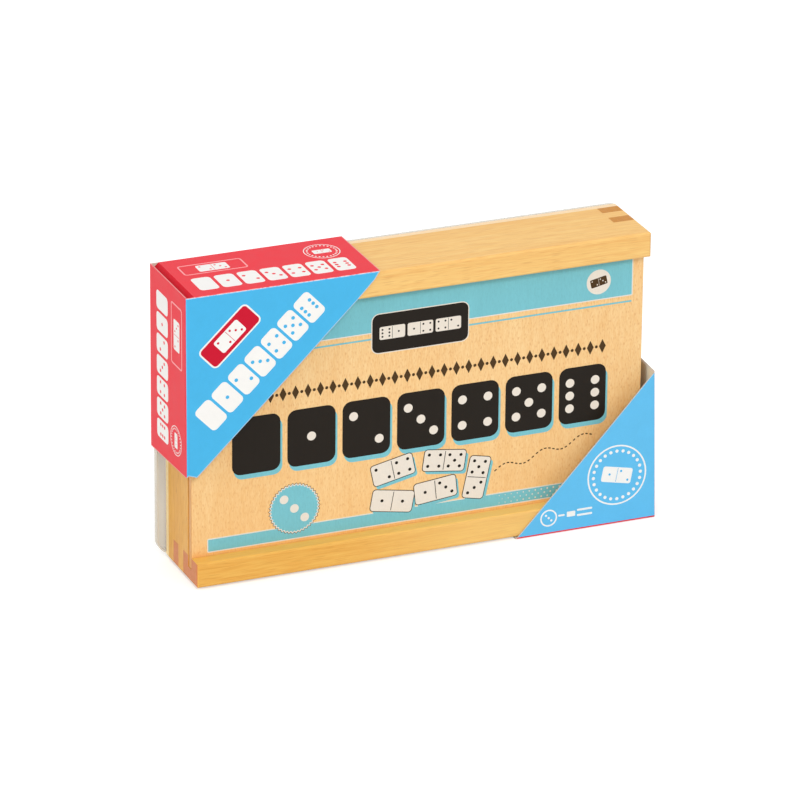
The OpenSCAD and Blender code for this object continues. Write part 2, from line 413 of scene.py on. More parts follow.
# Pips on dominoes that stand in a regular grid: one where the surface lies deeper than
# the face, near a spot of the three by three grid of its half, or in the groove between
def makePipPlan(depths):
    group, given, result = startGroup(
        "pipPlan",
        {"Vector": ("Place", "First", "Pitch", "Size"),
         "Float": ("Spot Pitch", "Spot Radius", "Groove")},
        {"Float": ("Paint",)},
    )
    local = scaled(group, given["Place"], 1 / mm)
    local = vectorCalc(group, "SUBTRACT", local, given["First"])
    cell = vectorCalc(group, "DIVIDE", local, given["Pitch"])
    cell = vectorCalc(group, "FLOOR", cell, (0, 0, 0))
    inside = vectorCalc(group, "MULTIPLY", cell, given["Pitch"])
    inside = vectorCalc(group, "SUBTRACT", local, inside)
    x, depth, z = axes(group, inside)
    width, _, length = axes(group, given["Size"])

    # distance to the nearest of three spots, one pitch apart
    def toSpot(value, middle):
        away = minus(group, value, middle)
        count = calc(group, "ROUND", calc(group, "DIVIDE", away, given["Spot Pitch"]))
        held = wire(group, "ShaderNodeClamp", 0, {"Value": count, "Min": -1.0, "Max": 1.0})
        return minus(group, away, times(group, held, given["Spot Pitch"]))

    half = times(group, length, 0.5)
    overHalf = times(group, calc(group, "GREATER_THAN", z, half), half)
    fromX = toSpot(x, times(group, width, 0.5))
    fromZ = toSpot(minus(group, z, overHalf), times(group, length, 0.25))
    spread = plus(group, times(group, fromX, fromX), times(group, fromZ, fromZ))
    nearSpot = calc(group, "LESS_THAN", calc(group, "SQRT", spread), given["Spot Radius"])
    toGroove = calc(group, "ABSOLUTE", minus(group, z, half))
    nearGroove = calc(group, "LESS_THAN", toGroove, given["Groove"])
    sunk = times(group, calc(group, "GREATER_THAN", depth, depths[0]),
                 calc(group, "LESS_THAN", depth, depths[1]))
    near = calc(group, "MAXIMUM", nearSpot, nearGroove)
    group.links.new(times(group, near, sunk), result["Paint"])
    return group


beechFigure = makeBeechFigure(grainLayers, grainLook)
softMottle = makeSoftMottle(mottleLook)
pocketPlan = makePocketPlan(cardPlan)
pipPlan = makePipPlan(pipDepths)
print("shader groups made:", len(bpy.data.node_groups))


def startMaterial(name, constants):
    material = bpy.data.materials.new(name)
    material.use_nodes = True
    tree = material.node_tree
    shader = tree.nodes["Principled BSDF"]
    feed(tree, shader, constants)
    coords = tree.nodes.new("ShaderNodeTexCoord").outputs
    return material, tree, shader.inputs, coords


def bumped(tree, shader, height, distance):
    inputs = {"Height": height, "Distance": distance * mm, "Strength": 1.0}
    tree.links.new(wire(tree, "ShaderNodeBump", 0, inputs), shader["Normal"])


# Woods by board: the way the grain runs, four colours, how much the flecks show, how
# short the figure is along the grain, and a number that moves it from board to board
beech = {
    "rail": {"axis": (1, 0, 0), "pale": (252, 213, 136), "streak": (236, 174, 96),
             "fleck": (200, 132, 70), "end": (216, 154, 96),
             "flecks": 0.25, "stretch": 0.4, "board": 0.0},
    "lowRail": {"axis": (1, 0, 0), "pale": (244, 195, 100), "streak": (228, 158, 66),
                "fleck": (196, 122, 48), "end": (214, 134, 90),
                "flecks": 0.25, "stretch": 0.4, "board": 0.93},
    "wall": {"axis": (0, 0, 1), "pale": (240, 187, 98), "streak": (218, 155, 70),
             "fleck": (186, 120, 54), "end": (210, 143, 56),
             "flecks": 0.35, "stretch": 0.7, "board": 0.31},
    "lid": {"axis": (0, 0, 1), "pale": (255, 220, 162), "streak": (241, 188, 122),
            "fleck": (218, 150, 90), "end": (214, 156, 98),
            "flecks": 0.4, "stretch": 1.7, "board": 0.57},
    "board": {"axis": (1, 0, 0), "pale": (255, 230, 190), "streak": (250, 214, 166),
              "fleck": (236, 194, 140), "end": (255, 234, 176),
              "flecks": 0.2, "stretch": 0.7, "board": 0.83},
}
# Colour ramps on the wood: tone changes in the board, and painted bounce and shade
woodTonesAndPaintedBounce = {
    "lid": (
        # painted shade and warm bounce on the lid just above the bottom rail's ledge
        {"by": "Object", "axis": 2, "full": 0.0125, "none": 0.0165,
         "colour": (236, 160, 66), "strength": 0.75},
        # warmer towards the lower part of the lid
        {"by": "Object", "axis": 2, "full": 0.02, "none": 0.08,
         "colour": (246, 186, 106), "strength": 0.35},
    ),
    "lowRail": (
        # tone change along the board, paler towards +X
        {"by": "Object", "axis": 0, "full": 0.04, "none": -0.06,
         "colour": (255, 222, 150), "strength": 0.6},
        # painted bounce: faces that look up, the ledge, are paler and yellower
        {"by": "Normal", "axis": 2, "full": 0.9, "none": 0.6,
         "colour": (255, 208, 104), "strength": 0.6},
    ),
}
# Painted shade on the lid's side edges: brown at half strength at the front, full at the back
lidSideShade = {"front": -12.4, "back": -11.4, "colour": (196, 124, 48), "shares": (0.5, 1.0)}
woodFinish = {"gloss": 0.18, "relief": 0.02, "glowTint": 0.6}


# Ramps shift the wood towards a colour, from none to full along one axis of its place, in
# metres, or of the way it faces: some are tone changes in the board, some painted bounce and
# shade. Side edges given a shade are painted brown, browner at the back, as shade of the gap
# behind the lid.
def beechMaterial(name, look, woodTonesAndPaintedBounce, sideShade, finish):
    constants = {"Specular IOR Level": finish["gloss"]}
    material, tree, shader, coords = startMaterial(name, constants)
    figure = useGroup(tree, beechFigure, {
        "Place": coords["Object"], "Facing": coords["Normal"], "Grain Axis": look["axis"],
        "Pale": colour(*look["pale"]), "Streak": colour(*look["streak"]),
        "Fleck": colour(*look["fleck"]), "End": colour(*look["end"]),
        "Flecks": look["flecks"], "Stretch": look["stretch"], "Board": look["board"],
    })
    wood = figure["Colour"]
    # each ramp mixes in its colour, as board tone or as painted bounce and shade
    for glow in woodTonesAndPaintedBounce:
        value = axes(tree, coords[glow["by"]])[glow["axis"]]
        reach = stepped(tree, value, glow["none"], glow["full"])
        reach = times(tree, reach, glow["strength"])
        tinted = mixed(tree, finish["glowTint"], wood, colour(*glow["colour"]))
        wood = mixed(tree, reach, wood, tinted)
    # painted shade: the lid's side faces turn brown towards the back, where the lid meets the
    # walls
    if sideShade:
        depth = axes(tree, coords["Object"])[1]
        share = ranged(tree, depth, sideShade["front"] * mm, sideShade["back"] * mm, *sideShade["shares"])
        sideways = calc(tree, "ABSOLUTE", axes(tree, coords["Normal"])[0])
        share = times(tree, share, stepped(tree, sideways, *facing))
        wood = mixed(tree, share, wood, colour(*sideShade["colour"]))
    tree.links.new(wood, shader["Base Color"])
    tree.links.new(figure["Roughness"], shader["Roughness"])
    bumped(tree, shader, figure["Height"], finish["relief"])
    return material


woods = {
    key: beechMaterial(key + "Beech", look, woodTonesAndPaintedBounce.get(key, ()), None, woodFinish)
    for key, look in beech.items() if key != "lid"
}
woods["lid"] = beechMaterial("lidBeech", beech["lid"], woodTonesAndPaintedBounce["lid"], lidSideShade, woodFinish)
inkOnWood = {"gloss": 0.12, "relief": 0.01, "streak": (0.72, 0.72, 0.72, 1),
             "fleck": (0.55, 0.55, 0.55, 1)}


# Ink on wood lets the grain show through as a slight change of tone
def lidInk(name, ink, through):
    constants = {"Specular IOR Level": inkOnWood["gloss"]}
    material, tree, shader, coords = startMaterial(name, constants)
    look = beech["lid"]
    figure = useGroup(tree, beechFigure, {
        "Place": coords["Object"], "Facing": (0, -1, 0), "Grain Axis": look["axis"],
        "Pale": white, "Streak": inkOnWood["streak"], "Fleck": inkOnWood["fleck"], "End": white,
        "Flecks": look["flecks"], "Stretch": look["stretch"], "Board": look["board"],
    })
    tinted = mixed(tree, 1.0, colour(*ink), figure["Colour"], "MULTIPLY")
    tree.links.new(mixed(tree, through, colour(*ink), tinted), shader["Base Color"])
    tree.links.new(figure["Roughness"], shader["Roughness"])
    bumped(tree, shader, figure["Height"], inkOnWood["relief"])
    return material


# Adds the mottle of a plain finish, with its relief, and gives back what it puts out
def mottled(tree, shader, coords, base, finish):
    mottle = useGroup(tree, softMottle, {
        "Place": coords["Object"], "Colour": base, "Size": finish["size"],
        "Amount": finish["amount"], "Dull": finish["dull"], "Gloss Change": finish["glossChange"],
    })
    bumped(tree, shader, mottle["Height"], finish["relief"])
    return mottle


def plainFinish(name, tint, finish, constants):
    material, tree, shader, coords = startMaterial(name, constants)
    mottle = mottled(tree, shader, coords, colour(*tint), finish)
    tree.links.new(mottle["Colour"], shader["Base Color"])
    tree.links.new(mottle["Roughness"], shader["Roughness"])
    return material


pocketLook = {
    # The tuck red is a darker copy of the side red: painted shade on the sloping tuck strip
    "side": (236, 56, 68), "tuck": (214, 0, 34), "inside": (222, 218, 200),
    "edge": (250, 236, 230), "cut": (198, 190, 180), "rim": 0.3, "halfDepth": 22.925,
    "turn": 4.1, "gloss": 0.16, "insideDull": 0.45,
    "finish": {"size": 160, "amount": 0.16, "dull": 0.5, "glossChange": 0.2, "relief": 0.03},
}
pockets = {
    "upper_left_pocket": {"corner": (-115.1, 0, 142), "way": (1, 1, -1), "legX": 92,
                          "legZ": 88, "flap": (74, 182, 232), "hem": -1.0, "crease": 0.9},
    "lower_right_pocket": {"corner": (115.1, 0, 0), "way": (-1, 1, 1), "legX": 70,
                           "legZ": 73, "flap": (100, 192, 239), "hem": 1.0, "crease": 0.1},
}


# A card pocket reads its print from the place it had before it was bent
def pocketMaterial(name, pocket, look):
    constants = {"Specular IOR Level": look["gloss"]}
    material, tree, shader, coords = startMaterial(name, constants)
    place = wire(tree, "ShaderNodeAttribute", "Vector", {}, attribute_name="flatPlace")
    plan = useGroup(tree, pocketPlan, {
        "Place": place, "Facing": coords["Normal"], "Way": pocket["way"],
        "Corner": [v * mm for v in pocket["corner"]], "Leg X": pocket["legX"],
        "Leg Z": pocket["legZ"], "Half Depth": look["halfDepth"], "Turn": look["turn"],
        "Hem": pocket["hem"],
    })
    # painted shade: the tuck strip takes the darker red
    side = mixed(tree, plan["Tuck"], colour(*look["side"]), colour(*look["tuck"]))
    printed = mixed(tree, plan["Flap Face"], side, colour(*pocket["flap"]))
    crease = times(tree, plan["Crease"], pocket["crease"])
    printed = mixed(tree, crease, printed, colour(*look["edge"]))
    faces = mixed(tree, plan["Outside"], colour(*look["inside"]), printed)
    rim = times(tree, plan["Cut Edge"], look["rim"])
    faces = mixed(tree, rim, faces, colour(*look["edge"]))
    faces = mixed(tree, plan["Cut Face"], faces, colour(*look["cut"]))
    mottle = mottled(tree, shader, coords, faces, look["finish"])
    tree.links.new(mottle["Colour"], shader["Base Color"])
    bareDull = ranged(tree, plan["Outside"], 0, 1, look["insideDull"], 0.0)
    tree.links.new(plus(tree, mottle["Roughness"], bareDull), shader["Roughness"])
    return material


dominoLook = {
    "body": (240, 238, 230), "paint": (26, 25, 27),
    "first": (-98.4, -9.225, 13.0), "pitch": (28.2, 11.6, 57.3), "size": (27.6, 11.5, 57.2),
    "spotPitch": 7.4, "spotRadius": 2.6, "groove": 0.7, "coat": 0.3, "coatDull": 0.15,
    "finish": {"size": 120, "amount": 0.08, "dull": 0.3, "glossChange": 0.12, "relief": 0.008},
}


def dominoMaterial(look):
    constants = {"Coat Weight": look["coat"], "Coat Roughness": look["coatDull"]}
    material, tree, shader, coords = startMaterial("dominoWhite", constants)
    paint = useGroup(tree, pipPlan, {
        "Place": coords["Object"], "First": look["first"], "Pitch": look["pitch"],
        "Size": look["size"], "Spot Pitch": look["spotPitch"],
        "Spot Radius": look["spotRadius"], "Groove": look["groove"],
    })["Paint"]
    mottle = mottled(tree, shader, coords, colour(*look["body"]), look["finish"])
    painted = mixed(tree, paint, mottle["Colour"], colour(*look["paint"]))
    tree.links.new(painted, shader["Base Color"])
    tree.links.new(mottle["Roughness"], shader["Roughness"])
    return material


coverLook = {
    "tint": (226, 218, 200), "panelAlpha": 0.16, "rimAlpha": 0.48, "wallAlpha": 0.56,
    "ior": 1.5, "middle": (0, 0, 71), "rimX": (102, 110), "rimZ": (58, 67),
    "panelFacing": (0.6, 0.97),
    "finish": {"size": 60, "amount": 0.1, "dull": 0.14, "glossChange": 0.12, "relief": 0.05},
}


# Formed plastic: clear on the panel, which faces Y, hazy round its rim, where the sheet
# was drawn out, and densest in the walls
def coverMaterial(look):
    material = plainFinish("coverClear", look["tint"], look["finish"], {"IOR": look["ior"]})
    tree = material.node_tree
    coords = tree.nodes.new("ShaderNodeTexCoord").outputs
    fromMiddle = scaled(tree, coords["Object"], 1 / mm)
    fromMiddle = vectorCalc(tree, "SUBTRACT", fromMiddle, look["middle"])
    x, _, z = axes(tree, fromMiddle)
    nearEnd = stepped(tree, calc(tree, "ABSOLUTE", x), *look["rimX"])
    nearLong = stepped(tree, calc(tree, "ABSOLUTE", z), *look["rimZ"])
    rim = calc(tree, "MAXIMUM", nearEnd, nearLong)
    panel = ranged(tree, rim, 0, 1, look["panelAlpha"], look["rimAlpha"])
    wall = minus(tree, look["wallAlpha"], panel)
    flat = calc(tree, "ABSOLUTE", axes(tree, coords["Normal"])[1])
    share = ranged(tree, flat, *look["panelFacing"], 1, 0)
    alpha = plus(tree, panel, times(tree, wall, share))
    tree.links.new(alpha, tree.nodes["Principled BSDF"].inputs["Alpha"])
    return material


nodeMaterials = {
    "top_rail": woods["rail"], "bottom_rail": woods["lowRail"],
    "left_wall": woods["wall"], "right_wall": woods["wall"],
    "lid_panel": woods["lid"], "base_panel": woods["board"],
    "rear_cover": coverMaterial(coverLook),
}
for name, pocket in pockets.items():
    nodeMaterials[name] = pocketMaterial(name + "Card", pocket, pocketLook)
dominoWhite = dominoMaterial(dominoLook)
for name, node in cadNodes.items():
    node.data.materials.clear()
    node.data.materials.append(nodeMaterials.get(name, dominoWhite))
print("materials on the frame's nodes:", len(nodeMaterials) + 1)


# How far the lower pocket leans, and the slices along each axis that let it. How far the
# upper one's slanting cut strays, to the right and down, at shares of the way along it,
# with its slices at shares of the pocket's upper leg.
cardLean = {"reach": 2.0, "slices": (12, 8, 12)}
cardTrim = {
    "falloff": 10,
    "along": (0, 0.011, 0.04, 0.19, 0.67, 0.87, 0.965, 0.989, 1),
    "right": (0, 0, 1.3, 1.55, 1.3, 1.1, 0.9, 0.4, 0.4),
    "down": (-2.0, -2.0, 1.9, 1.6, 1.3, 1.15, 0.6, 0, 0),
    "slantSlices": (0.7, 0.8, 0.87, 0.94),
    "uprightSlices": (0.011, 0.02, 0.04, 0.055, 0.1, 0.19, 0.3, 0.43, 0.55, 0.67, 0.77, 0.87,
                      0.965, 0.989),
}
sliceTolerance = 0.001


# Lowest and highest corners of the box round a pocket's legs
def pocketBox(pocket):
    corner, half = np.array(pocket["corner"]), pocketLook["halfDepth"]
    tips = corner + np.array(pocket["way"]) * [pocket["legX"], 0, pocket["legZ"]]
    return np.minimum(corner, tips) - [0, half, 0], np.maximum(corner, tips) + [0, half, 0]


# Handled card: it leans in along X by the reach times three shares, how high, how near
# the front and how near the side a point lies
def leaned(points):
    low, high = pocketBox(pockets["lower_right_pocket"])
    aside, back, up = np.clip((points - low) / (high - low), 0, 1).T
    lean = cardLean["reach"] * up * (1 - back) * aside
    return points - np.stack([lean, 0 * lean, 0 * lean], 1)


# Slanting cut that isn't quite straight: a point moves in its own plane by table values,
# read off along the cut, times a high power of how near the cut it is and a share for
# how near the front
def trimmed(points):
    pocket = pockets["upper_left_pocket"]
    low, high = pocketBox(pocket)
    toSide = (points[:, 0] - low[0]) / pocket["legX"]
    toTop = (high[2] - points[:, 2]) / pocket["legZ"]
    used = np.maximum(toSide + toTop, 0.001)
    near = np.clip((high[1] - points[:, 1]) / (high[1] - low[1]), 0, 1)
    share = near * np.minimum(used, 1) ** cardTrim["falloff"]
    right = share * np.interp(toSide / used, cardTrim["along"], cardTrim["right"])
    down = share * np.interp(toSide / used, cardTrim["along"], cardTrim["down"])
    return points + np.stack([right, 0 * right, -down], 1)


# Planes square to X, Y and Z that cut a box into even slices
def gridPlanes(low, high, slices):
    normals = np.eye(3)
    return [
        (low + (high[axis] - low[axis]) * step / slices[axis] * normals[axis], normals[axis])
        for axis in range(3) for step in range(1, slices[axis])
    ]


# Planes along the slanting cut, and upright ones across it
def trimPlanes(pocket):
    side, _, top = pocket["corner"]
    slant = (1 / pocket["legX"], 0, -1 / pocket["legZ"])
    along = [((side + pocket["legX"] * share, 0, top), slant) for share in cardTrim["slantSlices"]]
    upright = [
        ((side + pocket["legX"] * share, 0, 0), (1, 0, 0)) for share in cardTrim["uprightSlices"]]
    return along + upright


# A card pocket, sliced finely enough to bend and standing for its plain solid
def makeBentPocket(name, nodeName, bend, planes, body):
    cut = bmesh.new()
    cut.from_mesh(cadNodes[nodeName].data)
    bmesh.ops.remove_doubles(cut, verts=cut.verts, dist=sliceTolerance * mm)
    for place, normal in planes:
        bmesh.ops.bisect_plane(
            cut, geom=cut.verts[:] + cut.edges[:] + cut.faces[:], dist=sliceTolerance * mm,
            plane_co=Vector(place) * mm, plane_no=Vector(normal))
    bmesh.ops.triangulate(cut, faces=cut.faces)
    mesh = bpy.data.meshes.new(name)
    cut.to_mesh(mesh)
    cut.free()
    flat = np.empty(len(mesh.vertices) * 3, np.float32)
    mesh.vertices.foreach_get("co", flat)
    mesh.attributes.new("flatPlace", "FLOAT_VECTOR", "POINT").data.foreach_set("vector", flat)
    mesh.vertices.foreach_set("co", (bend(flat.reshape(-1, 3) / mm) * mm).ravel())
    mesh.materials.clear()
    mesh.materials.append(nodeMaterials[nodeName])
    made = linked(name, mesh)
    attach(made, body)
    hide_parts(nodeName)
    return len(mesh.polygons)


upperPlanes = trimPlanes(pockets["upper_left_pocket"])
lowerPlanes = gridPlanes(*pocketBox(pockets["lower_right_pocket"]), cardLean["slices"])
upperFaces = makeBentPocket(
    "upperCard", "upper_left_pocket", trimmed, upperPlanes, "upper_pocket")
lowerFaces = makeBentPocket(
    "lowerCard", "lower_right_pocket", leaned, lowerPlanes, "lower_pocket")
print("bent pockets made, faces:", upperFaces, lowerFaces)


inkStep = 0.015   # height of one ink level above what it is printed on
inkRoot = 0.01    # how far ink reaches into it


# Quarter circles of the radius round the corners of a smaller box
def roundedBox(width, height, radius, cornerPoints=6):
    angles = np.arange(4)[:, None] * np.pi / 2 + np.linspace(0, np.pi / 2, cornerPoints)
    corners = np.array([[1, 1], [-1, 1], [-1, -1], [1, -1]])
    corners = corners * [width / 2 - radius, height / 2 - radius]
    arcs = radius * np.stack([np.cos(angles), np.sin(angles)], -1)
    return (corners[:, None] + arcs).reshape(-1, 2)


# The same, wider by a line all round
def grownBox(size, line):
    width, height, radius = size
    return roundedBox(width + 2 * line, height + 2 * line, radius + line)


# Circle: radius times cosine and sine of the angle
def disc(radius, points=40):
    angles = np.linspace(0, 2 * np.pi, points, endpoint=False)
    return radius * np.stack([np.cos(angles), np.sin(angles)], -1)


# Circle whose radius alternates between two values, as a pinked seal
def pinked(radius, tooth, teeth):
    angles = np.linspace(0, 2 * np.pi, 2 * teeth, endpoint=False)
    reach = radius - tooth * (np.arange(2 * teeth) % 2)
    return reach[:, None] * np.stack([np.cos(angles), np.sin(angles)], -1)


# Four points of a lozenge
def lozenge(width, height):
    return np.array([[width / 2, 0], [0, height / 2], [-width / 2, 0], [0, -height / 2]])


# Turns an outline about the origin, then moves it
def moved(outline, centre, degrees):
    turn = np.radians(degrees)
    matrix = np.array([[np.cos(turn), np.sin(turn)], [-np.sin(turn), np.cos(turn)]])
    return outline @ matrix + np.array(centre)


# Two triangles for each step between two rows of points
def strip(first, second):
    (a, b), (c, d) = first, second
    return [np.stack([a, b, d], 1), np.stack([a, d, c], 1)]


# Closed plate over an outline: fans above and below, a wall round it. With an inner
# outline of as many points it is a closed ring, with a second wall inside.
def plate(outer, level, inner=None):
    count, top = len(outer), level * inkStep
    here = np.arange(count)
    after = (here + 1) % count
    rows = [np.stack([here + k * count, after + k * count]) for k in range(4)]
    low, high = np.full((count, 1), -inkRoot), np.full((count, 1), top)
    walls = strip(rows[0], rows[1])
    if inner is None:
        middle = outer.mean(0)
        ends = [[*middle, -inkRoot], [*middle, top]]
        points = np.vstack([np.hstack([outer, low]), np.hstack([outer, high]), ends])
        lowest, highest = np.full(count, 2 * count), np.full(count, 2 * count + 1)
        below = np.stack([lowest, after, here], 1)
        above = np.stack([highest, here + count, after + count], 1)
        return points, np.vstack(walls + [below, above])
    points = np.vstack([np.hstack([edge, z]) for edge in (outer, inner) for z in (low, high)])
    rings = strip(rows[1], rows[3]) + strip(rows[3], rows[2]) + strip(rows[2], rows[0])
    return points, np.vstack(walls + rings)


# Plates of one ink on one face become one mesh. A face is an origin and two ways along
# it, across and up: each point is the origin plus its distance each way and its height
# along the face's normal.
def printInk(name, plates, face, material, body, bend=None):
    offsets = np.cumsum([0] + [len(points) for points, _ in plates[:-1]])
    flat = np.vstack([points for points, _ in plates])
    faces = np.vstack([tris + offset for (_, tris), offset in zip(plates, offsets)])
    origin, across, up = np.array(face, float)
    placed = origin + flat @ np.stack([across, up, np.cross(across, up)])
    if bend:
        placed = bend(placed)
    mesh = bpy.data.meshes.new(name)
    mesh.from_pydata((placed * mm).tolist(), [], faces.tolist())
    mesh.materials.append(material)
    made = linked(name, mesh)
    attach(made, body)


# A face's artwork is a dictionary of plates by ink, and each ink becomes one piece
def printArt(art, prefix, face, inks, body, bend=None):
    for ink, plates in art.items():
        name = prefix + ink[0].upper() + ink[1:]
        printInk(name, plates, face, inks[ink], body, bend)


def addPlate(art, ink, outline, centre, level, degrees=0.0, inner=None):
    hole = None if inner is None else moved(inner, centre, degrees)
    art.setdefault(ink, []).append(plate(moved(outline, centre, degrees), level, hole))


# Places of the pips on half a domino, in steps of the pip pitch
def pipSteps(count):
    steps = [(0, 0)] if count % 2 else []
    if count > 1:
        steps += [(-1, 1), (1, -1)]
    if count > 3:
        steps += [(-1, -1), (1, 1)]
    if count == 6:
        steps += [(-1, 0), (1, 0)]
    return steps


# Pips of one value about a centre, turned with the domino they stand on
def addPips(art, ink, count, centre, pitch, radius, level, degrees=0.0, points=20):
    turn = np.radians(degrees)
    for u, v in pipSteps(count):
        shift = [u * np.cos(turn) - v * np.sin(turn), u * np.sin(turn) + v * np.cos(turn)]
        at = np.array(centre) + np.array(shift) * pitch
        addPlate(art, ink, disc(radius, points), at, level)


# Shares of a printed domino's length, but for the line round it, which is a width, and
# the groove's height, a share of the domino's
tileDrawing = {
    "corner": 0.07, "line": 0.35, "grooveWidth": 0.016, "grooveHeight": 0.9,
    "grooveCorner": 0.005, "pipPitch": 0.135, "pipRadius": 0.038,
}


# Domino lying along its own X: a ground or shade under it, a line round it where it has
# one, its face, and then groove and pips in the ink of the line, or else of the ground
def addDomino(art, face, under, values, length, centre, level, degrees=0.0, line=None,
              shift=(0, 0)):
    drawing, height = tileDrawing, length / 2
    size = (length, height, length * drawing["corner"])
    addPlate(art, under, roundedBox(*size), np.array(centre) + shift, level - 2, degrees)
    if line:
        addPlate(art, line, grownBox(size, drawing["line"]), centre, level - 1, degrees)
    addPlate(art, face, roundedBox(*size), centre, level, degrees)
    groove = roundedBox(length * drawing["grooveWidth"], height * drawing["grooveHeight"],
                        length * drawing["grooveCorner"])
    addPlate(art, line or under, groove, centre, level + 1, degrees)
    turn = np.radians(degrees)
    for side, value in zip((-1, 1), values):
        middle = np.array(centre) + side * length / 4 * np.array([np.cos(turn), np.sin(turn)])
        addPips(art, line or under, value, middle, length * drawing["pipPitch"],
                length * drawing["pipRadius"], level + 1, degrees, points=14)


blockDrawing = {"pipPitch": 0.27, "pipRadius": 0.093}   # shares of a block's width


# Row of rounded blocks that count from nought to six
def addBlocks(art, ink, pipInk, row, level, shade=None):
    way, block = np.array(row["way"], float), row["block"]
    degrees = np.degrees(np.arctan2(way[1], way[0]))
    for value in range(7):
        centre = np.array(row["start"]) + way * (block[0] / 2 + value * row["pitch"])
        if shade:
            addPlate(art, shade, roundedBox(*block), centre + row["shift"], level - 1, degrees)
        addPlate(art, ink, roundedBox(*block), centre, level, degrees)
        addPips(art, pipInk, value, centre, block[0] * blockDrawing["pipPitch"],
                block[0] * blockDrawing["pipRadius"], level + 1, degrees)


# Shares of a seal's radius, and its number of dots
sealDrawing = {"ring": 0.95, "dots": 24, "dotRing": 0.8, "dotRadius": 0.055, "tile": 1.02}


# Seal: thin ring, ring of dots and a small domino
def addSeal(art, ink, ground, seal, level, degrees):
    drawing, radius, centre = sealDrawing, seal["radius"], seal["centre"]
    addPlate(art, ink, disc(radius), centre, level, inner=disc(radius * drawing["ring"]))
    for turn in np.linspace(0, 2 * np.pi, drawing["dots"], endpoint=False):
        reach = radius * drawing["dotRing"] * np.array([np.cos(turn), np.sin(turn)])
        dot = disc(radius * drawing["dotRadius"], points=12)
        addPlate(art, ink, dot, np.array(centre) + reach, level)
    addDomino(art, ink, ground, (1, 2), radius * drawing["tile"], centre, level, degrees)


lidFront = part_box("lid_panel")[0].y / mm
lidFace = ((0, lidFront, 0), (1, 0, 0), (0, 0, 1))
lidPrint = {
    "edges": (-101.9, 104), "corner": 0.3, "outline": 0.5,
    "upperBand": (109.2, 131.5), "thinLine": (105.6, 106.4), "lowerBand": (14.8, 20.6),
    "label": {"centre": (0.1, 108.2), "size": (46.6, 18.6, 3.2), "line": 0.45,
              "tiles": ((6, 1), (1, 4), (4, 2)), "length": 12.4, "pitch": 13.6},
    "spot": {"centre": (87.5, 117.6), "radius": 6.0, "tile": (2, 3), "length": 8.2,
             "degrees": 12},
    "blocks": {"start": (-90.4, 63.6), "way": (1, 0), "block": (23.2, 27.6, 4.2),
               "pitch": 26.55, "shift": (0.9, -2.2)},
    "ornament": {"z": 85.9, "from": -90, "pitch": 6.0, "count": 31, "size": (3.4, 6.8),
                 "dot": 0.75},
    "seal": {"centre": (-60.4, 29.4), "radius": 11.5, "teeth": 42, "tooth": 0.8,
             "line": 1.1, "rim": 0.8, "body": 0.2, "pipPitch": 5.0, "pipRadius": 2.1},
    "dots": {"from": 40, "pitch": 3.0, "rows": (-1.8, 0, 1.8), "count": 21,
             "least": 0.2, "growth": 0.55},
    "wave": {"from": 38, "to": 86, "z": 32.5, "height": 1.7, "length": 19, "pitch": 2.05,
             "rise": 0.22, "dash": (1.3, 0.6, 0.25)},
    "spread": {"length": 20.4, "shift": (1.2, -1.7), "tiles": (
        ((-12.6, 40.8), 12, (2, 4)), ((12.6, 41.4), -8, (4, 5)), ((28.6, 30.6), 78, (3, 5)),
        ((8.4, 27.6), 6, (1, 3)), ((-12.8, 25.4), -10, (1, 1)))},
}
lidInks = {
    "teal": lidInk("lidTeal", (128, 202, 213), 0.4),
    "black": lidInk("lidBlack", (34, 28, 22), 0.2),
    "brown": lidInk("lidBrown", (78, 56, 30), 0.3),
    "white": lidInk("lidWhite", (240, 230, 216), 0.2),
}


def addBand(art, ink, look, span, level, grow=0.0):
    (left, right), (low, high) = look["edges"], span
    band = grownBox((right - left, high - low, look["corner"]), grow)
    addPlate(art, ink, band, ((left + right) / 2, (low + high) / 2), level)


# Teal bands across the lid, the wide ones with a white outline
def addBands(art, look):
    for span in (look["upperBand"], look["lowerBand"]):
        addBand(art, "white", look, span, 1, look["outline"])
        addBand(art, "teal", look, span, 2)
    addBand(art, "teal", look, look["thinLine"], 2)


# Black label with a white line and three dominoes
def addLabel(art, label):
    addPlate(art, "white", grownBox(label["size"], label["line"]), label["centre"], 3)
    addPlate(art, "black", roundedBox(*label["size"]), label["centre"], 4)
    for place, values in enumerate(label["tiles"]):
        centre = np.array(label["centre"]) + (label["pitch"] * (place - 1), 0)
        addDomino(art, "white", "black", values, label["length"], centre, 5)


# White disc with a domino
def addSpot(art, spot):
    addPlate(art, "white", disc(spot["radius"]), spot["centre"], 3)
    addDomino(art, "brown", "white", spot["tile"], spot["length"], spot["centre"], 4,
              spot["degrees"])


# Row of lozenges with a dot between each two
def addOrnament(art, line):
    for step in range(line["count"]):
        x = line["from"] + step * line["pitch"]
        addPlate(art, "brown", lozenge(*line["size"]), (x, line["z"]), 2)
        if step < line["count"] - 1:
            between = (x + line["pitch"] / 2, line["z"])
            addPlate(art, "brown", disc(line["dot"], points=16), between, 2)


# Pinked seal: brown line, white rim and teal body, with three pips
def addPinkedSeal(art, seal):
    line, rim, body = (
        pinked(seal["radius"] + seal[key], seal["tooth"], seal["teeth"])
        for key in ("line", "rim", "body"))
    addPlate(art, "brown", line, seal["centre"], 3, inner=rim)
    addPlate(art, "white", rim, seal["centre"], 3)
    addPlate(art, "teal", body, seal["centre"], 4)
    addPips(art, "white", 3, seal["centre"], seal["pipPitch"], seal["pipRadius"], 5, points=28)


